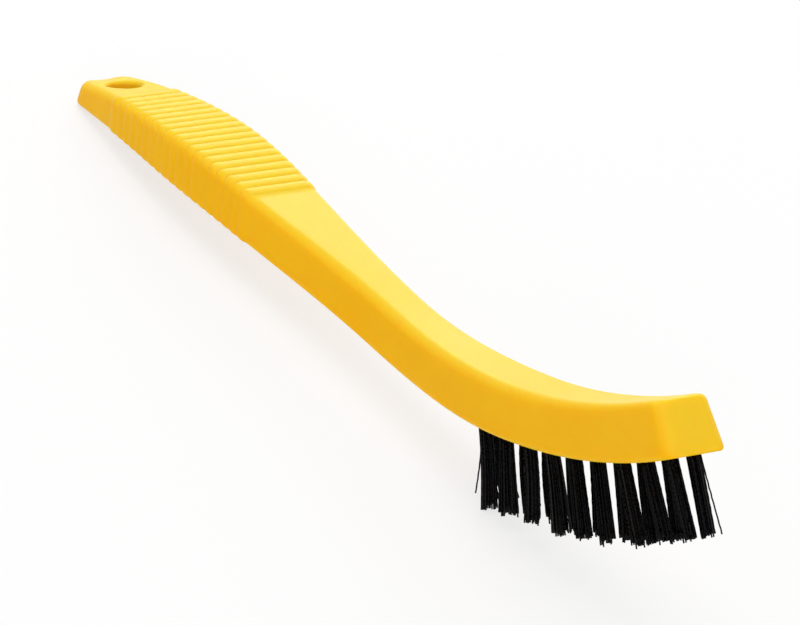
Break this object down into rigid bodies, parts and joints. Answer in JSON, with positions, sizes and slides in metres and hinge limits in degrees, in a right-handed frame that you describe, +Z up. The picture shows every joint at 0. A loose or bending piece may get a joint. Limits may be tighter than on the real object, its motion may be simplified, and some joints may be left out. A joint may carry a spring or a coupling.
{
  "type": "grout brush",
  "caption": "Narrow scrubbing brush with a ribbed, S-curved yellow plastic handle, a hanging hole at its tip and two rows of stiff black tufts under its curved head.",
  "frame": {"origin": "centre of the bounding box, at the surface that the brush rests on", "axes": "+X from the handle's tip towards the head, +Y across the brush, +Z up; the brush lies as it rests, on the far end of its handle and the tips of its rearmost tufts"},
  "size_m": [0.227, 0.0222, 0.0563],
  "materials": {
    "handle_plastic": "satin",
    "bristle": "satin",
    "anchor_wire": "satin"
  },
  "bodies": {
    "root": {"handle": "handle_plastic", "tuft_anchors": "anchor_wire", "tuft_left_01": "bristle", "tuft_left_02": "bristle", "tuft_left_03": "bristle", "tuft_left_04": "bristle", "tuft_left_05": "bristle", "tuft_left_06": "bristle", "tuft_left_07": "bristle", "tuft_left_08": "bristle", "tuft_left_09": "bristle", "tuft_right_01": "bristle", "tuft_right_02": "bristle", "tuft_right_03": "bristle", "tuft_right_04": "bristle", "tuft_right_05": "bristle", "tuft_right_06": "bristle", "tuft_right_07": "bristle", "tuft_right_08": "bristle", "tuft_right_09": "bristle"}
  },
  "joints": []
}
